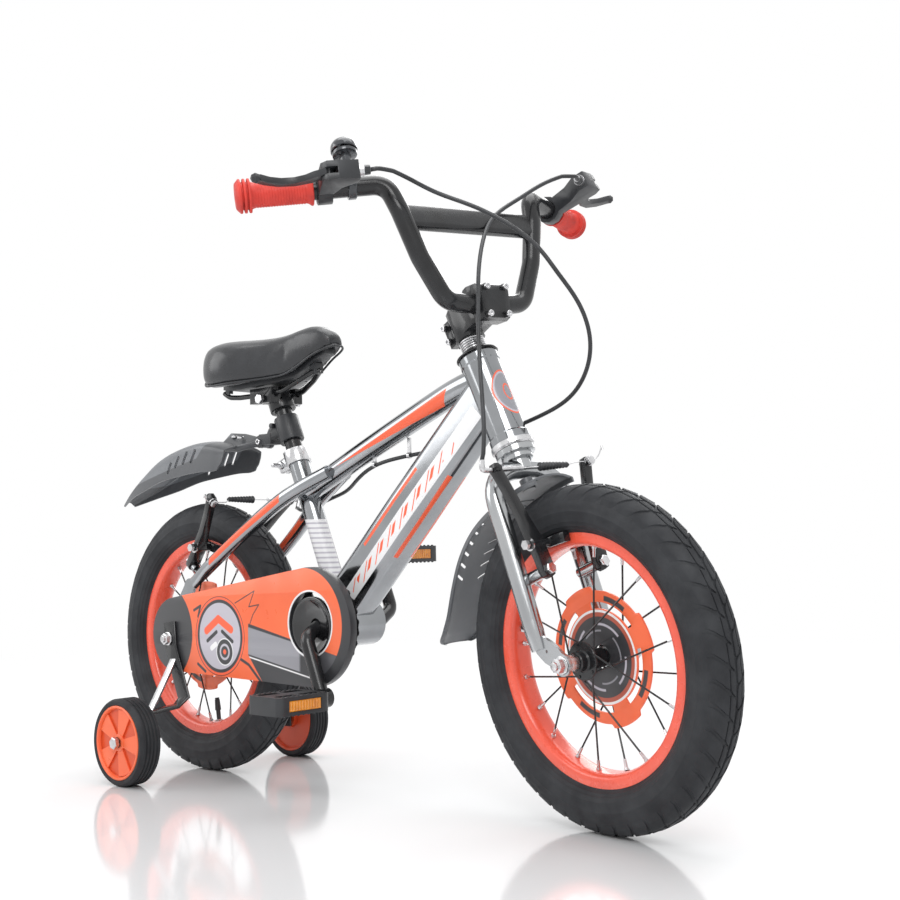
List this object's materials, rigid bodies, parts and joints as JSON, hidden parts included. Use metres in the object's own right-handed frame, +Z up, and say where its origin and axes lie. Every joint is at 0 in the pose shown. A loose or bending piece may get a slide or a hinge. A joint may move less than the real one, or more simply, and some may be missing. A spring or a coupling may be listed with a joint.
{
  "type": "children's bicycle",
  "caption": "Children's bicycle with training wheels, riser handlebar, rim brakes, chain guard, mudguards and padded saddle; steering, wheels, crank, levers and seat move",
  "frame": {"origin": "on the floor under the middle of the whole bicycle's bounding box", "axes": "+X forward, +Y to the rider's left, +Z up"},
  "size_m": [1.042, 0.529, 0.7564],
  "materials": {
    "frame_paint": "smoky bright plated tubes with decals",
    "black_metal": "satin black enamel",
    "steel": "zinc-bright fittings",
    "black_plastic": "moulded black plastic",
    "bell_cap": "dark glossy bell",
    "grip_rubber": "soft red-orange grip",
    "orange_plastic": "orange moulded plastic",
    "orange_rim": "orange-red enamelled rim",
    "tyre_rubber": "black tyre",
    "vinyl": "black glossy vinyl"
  },
  "bodies": {
    "frame": {"bottom_bracket_bearing": "steel", "bottom_bracket_shell": "frame_paint", "chain": "black_metal", "chain_guard": "orange_plastic", "down_tube": "frame_paint", "head_tube": "frame_paint", "left_rear_stay": "frame_paint", "left_stabiliser_bracket": "black_metal", "lower_headset_cup": "steel", "rear_axle": "steel", "rear_brake_cable_rear": "black_plastic", "right_rear_stay": "frame_paint", "right_stabiliser_bracket": "black_metal", "seat_clamp": "steel", "seat_tube": "frame_paint", "top_tube": "frame_paint", "upper_headset_cup": "steel"},
    "steering_set": {"bell": "bell_cap", "fork": "frame_paint", "front_axle": "steel", "front_brake_cable": "black_plastic", "front_mudguard": "black_plastic", "handlebar": "black_metal", "headset_top": "black_metal", "left_grip": "grip_rubber", "left_lever_bracket": "black_plastic", "rear_brake_cable_front": "black_plastic", "right_grip": "grip_rubber", "right_lever_bracket": "black_plastic", "stem": "black_metal", "stem_face_plate": "black_metal"},
    "front_wheel_set": {"front_hub": "black_metal", "front_hub_disc": "orange_plastic", "front_rim": "orange_rim", "front_tyre": "tyre_rubber"},
    "rear_wheel_set": {"rear_hub": "black_metal", "rear_hub_disc": "orange_plastic", "rear_rim": "orange_rim", "rear_tyre": "tyre_rubber"},
    "freewheel_set": {"rear_sprocket": "steel"},
    "crank_set": {"chainring": "black_metal", "crank": "black_metal"},
    "right_pedal_set": {"right_pedal": "black_plastic"},
    "left_pedal_set": {"left_pedal": "black_plastic"},
    "seat_set": {"mudguard_clamp": "black_plastic", "saddle": "vinyl", "saddle_base": "black_plastic", "saddle_clamp": "black_metal", "saddle_rails": "steel", "seatpost": "black_metal"},
    "rear_mudguard_set": {"rear_mudguard": "black_plastic"},
    "right_lever_set": {"right_brake_lever": "black_plastic"},
    "left_lever_set": {"left_brake_lever": "black_plastic"},
    "bell_lever_set": {"bell_lever": "bell_cap"},
    "front_left_arm_set": {"front_left_brake_arm": "black_metal"},
    "front_right_arm_set": {"front_right_brake_arm": "black_metal"},
    "rear_left_arm_set": {"rear_left_brake_arm": "black_metal"},
    "rear_right_arm_set": {"rear_right_brake_arm": "black_metal"},
    "right_stabiliser_set": {"right_stabiliser_wheel": "orange_plastic"},
    "left_stabiliser_set": {"left_stabiliser_wheel": "orange_plastic"}
  },
  "joints": [
    {"name": "steering", "type": "hinge", "parent": "frame", "child": "steering_set", "pos_m": [0.33704, 0.01104, 0.18114], "axis": [-0.4201, 0, 0.9075], "range_deg": [-50, 70]},
    {"name": "front_wheel_spin", "type": "hinge", "parent": "steering_set", "child": "front_wheel_set", "pos_m": [0.34025, 0.01042, 0.18263], "axis": [0.156, 0.9851, 0.0722], "continuous": true},
    {"name": "rear_wheel_spin", "type": "hinge", "parent": "frame", "child": "rear_wheel_set", "pos_m": [-0.321, 0.01104, 0.183], "axis": [0, 1, 0], "continuous": true},
    {"name": "crank_spin", "type": "hinge", "parent": "frame", "child": "crank_set", "pos_m": [-0.038, 0.01104, 0.208], "axis": [0, 1, 0], "continuous": true},
    {"name": "freewheel_spin", "type": "hinge", "parent": "frame", "child": "freewheel_set", "pos_m": [-0.321, 0.01104, 0.183], "axis": [0, 1, 0], "continuous": true},
    {"name": "right_pedal_spin", "type": "hinge", "parent": "crank_set", "child": "right_pedal_set", "pos_m": [-0.00466, -0.11796, 0.12548], "axis": [0, 1, 0], "continuous": true},
    {"name": "left_pedal_spin", "type": "hinge", "parent": "crank_set", "child": "left_pedal_set", "pos_m": [-0.07134, 0.14004, 0.29052], "axis": [0, 1, 0], "continuous": true},
    {"name": "seat_height", "type": "slide", "parent": "frame", "child": "seat_set", "axis": [-0.3872, 0, 0.922], "range_m": [-0.01, 0.05]},
    {"name": "rear_mudguard_tilt", "type": "hinge", "parent": "seat_set", "child": "rear_mudguard_set", "pos_m": [-0.2, 0.01104, 0.444], "axis": [0, 1, 0], "range_deg": [-5, 25]},
    {"name": "right_brake_lever_pull", "type": "hinge", "parent": "steering_set", "child": "right_lever_set", "pos_m": [0.16363, -0.19785, 0.69501], "axis": [0.097, 0.0732, -0.9926], "range_deg": [0, 10], "stiffness_Nm_per_rad": 1, "springref_deg": -5.73},
    {"name": "left_brake_lever_pull", "type": "hinge", "parent": "steering_set", "child": "left_lever_set", "pos_m": [0.22015, 0.18605, 0.74173], "axis": [-0.3799, -0.1358, 0.915], "range_deg": [0, 10], "stiffness_Nm_per_rad": 1, "springref_deg": -5.73},
    {"name": "bell_lever_flick", "type": "hinge", "parent": "steering_set", "child": "bell_lever_set", "pos_m": [0.10147, -0.11897, 0.72895], "axis": [-0.3403, 0.1143, 0.9333], "range_deg": [0, 20], "stiffness_Nm_per_rad": 0.05, "springref_deg": -11.46},
    {"name": "front_left_arm_swing", "type": "hinge", "parent": "steering_set", "child": "front_left_arm_set", "pos_m": [0.3208, 0.04638, 0.28108], "axis": [0.9272, -0.1713, 0.3332], "range_deg": [0, 1.8]},
    {"name": "front_right_arm_swing", "type": "hinge", "parent": "steering_set", "child": "front_right_arm_set", "pos_m": [0.30848, -0.03144, 0.27537], "axis": [-0.9272, 0.1713, -0.3332], "range_deg": [0, 1.8]},
    {"name": "rear_left_arm_swing", "type": "hinge", "parent": "frame", "child": "rear_left_arm_set", "pos_m": [-0.308, 0.05054, 0.283], "axis": [0.7385, 0, -0.6743], "range_deg": [0, 1]},
    {"name": "rear_right_arm_swing", "type": "hinge", "parent": "frame", "child": "rear_right_arm_set", "pos_m": [-0.308, -0.02846, 0.283], "axis": [-0.7385, 0, 0.6743], "range_deg": [0, 1]},
    {"name": "right_stabiliser_spin", "type": "hinge", "parent": "frame", "child": "right_stabiliser_set", "pos_m": [-0.311, -0.13266, 0.056], "axis": [0, 1, 0], "continuous": true},
    {"name": "left_stabiliser_spin", "type": "hinge", "parent": "frame", "child": "left_stabiliser_set", "pos_m": [-0.311, 0.15474, 0.056], "axis": [0, 1, 0], "continuous": true}
  ],
  "couplings": [
    {"joint": "freewheel_spin", "follows": "crank_spin", "ratio": 1.75},
    {"joint": "front_left_arm_swing", "follows": "left_brake_lever_pull", "ratio": 0.18},
    {"joint": "front_right_arm_swing", "follows": "left_brake_lever_pull", "ratio": 0.18},
    {"joint": "rear_left_arm_swing", "follows": "right_brake_lever_pull", "ratio": 0.1},
    {"joint": "rear_right_arm_swing", "follows": "right_brake_lever_pull", "ratio": 0.1}
  ]
}
